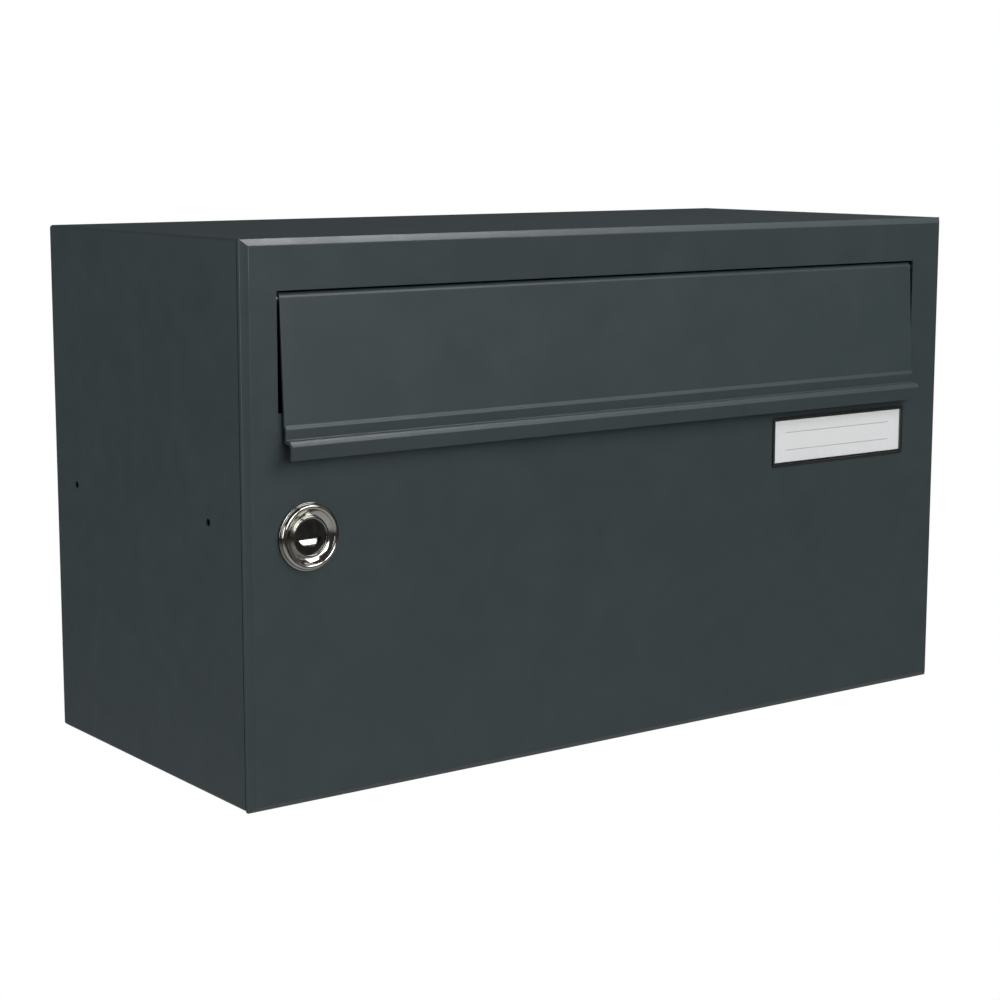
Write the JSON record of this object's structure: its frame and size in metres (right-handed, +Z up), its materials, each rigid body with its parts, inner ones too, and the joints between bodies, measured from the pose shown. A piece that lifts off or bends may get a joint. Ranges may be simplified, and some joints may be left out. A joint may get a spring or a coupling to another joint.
{
  "type": "wall mounted mailbox",
  "caption": "Rectangular wall mailbox with a bevelled full-width front door on side hinges, a top-hinged letter flap with a finger lip, a cam lock and a name card holder.",
  "frame": {"origin": "centre of the four wall holes, on the back face that lies against the wall", "axes": "+X to the right seen from the front, +Y into the wall, +Z up; the front door faces -Y"},
  "size_m": [0.38, 0.1728, 0.222],
  "materials": {
    "case_coat": "satin anthracite powder coat",
    "flap_coat": "satin anthracite powder coat on an extrusion",
    "zinc_steel": "bright zinc plate",
    "white_nylon": "matt",
    "black_rubber": "matt",
    "lock_chrome": "bright chrome",
    "plug_chrome": "darker chrome",
    "shutter_steel": "bright steel",
    "black_plastic": "satin",
    "clear_window": "clear",
    "card": "printed paper"
  },
  "bodies": {
    "case": {"body_shell": "case_coat", "mouth_frame": "case_coat", "mouth_strip": "case_coat", "back_panel": "case_coat", "hinge_bracket_upper": "case_coat", "hinge_bracket_lower": "case_coat", "hinge_pin_upper": "zinc_steel", "hinge_pin_lower": "zinc_steel", "hinge_washers": "white_nylon", "latch_strike": "case_coat", "door_bumpers": "black_rubber"},
    "door": {"door_panel": "case_coat", "door_arm_upper": "case_coat", "door_arm_lower": "case_coat", "flap_bracket_left": "case_coat", "flap_bracket_right": "case_coat", "flap_rod": "zinc_steel", "flap_bumpers": "black_rubber", "lock_housing": "lock_chrome", "lock_gasket": "black_rubber", "lock_washer": "zinc_steel", "lock_nut": "zinc_steel", "nameplate_holder": "black_plastic", "nameplate_window": "clear_window", "name_card": "card", "nameplate_backing": "black_plastic"},
    "flap": {"flap_plate": "flap_coat"},
    "lock": {"lock_plug": "plug_chrome", "lock_cam": "zinc_steel", "cam_washer": "zinc_steel", "cam_screw": "zinc_steel", "shutter_pin": "zinc_steel"},
    "shutter": {"dust_shutter": "shutter_steel"}
  },
  "joints": [
    {"name": "door_hinge", "type": "hinge", "parent": "case", "child": "door", "pos_m": [0.185, -0.14711, 0], "axis": [0, 0, 1], "range_deg": [0, 100]},
    {"name": "flap_hinge", "type": "hinge", "parent": "door", "child": "flap", "pos_m": [-0.0026, -0.1624, 0.0882], "axis": [-1, 0, 0], "range_deg": [0, 80]},
    {"name": "lock_turn", "type": "hinge", "parent": "door", "child": "lock", "pos_m": [-0.1629, -0.165, -0.004], "axis": [0, 1, 0], "range_deg": [0, 90]},
    {"name": "shutter_tilt", "type": "hinge", "parent": "lock", "child": "shutter", "pos_m": [-0.1629, -0.165, -0.0073], "axis": [-1, 0, 0], "range_deg": [0, 55], "stiffness_Nm_per_rad": 0.0005, "springref_deg": -28.65}
  ]
}
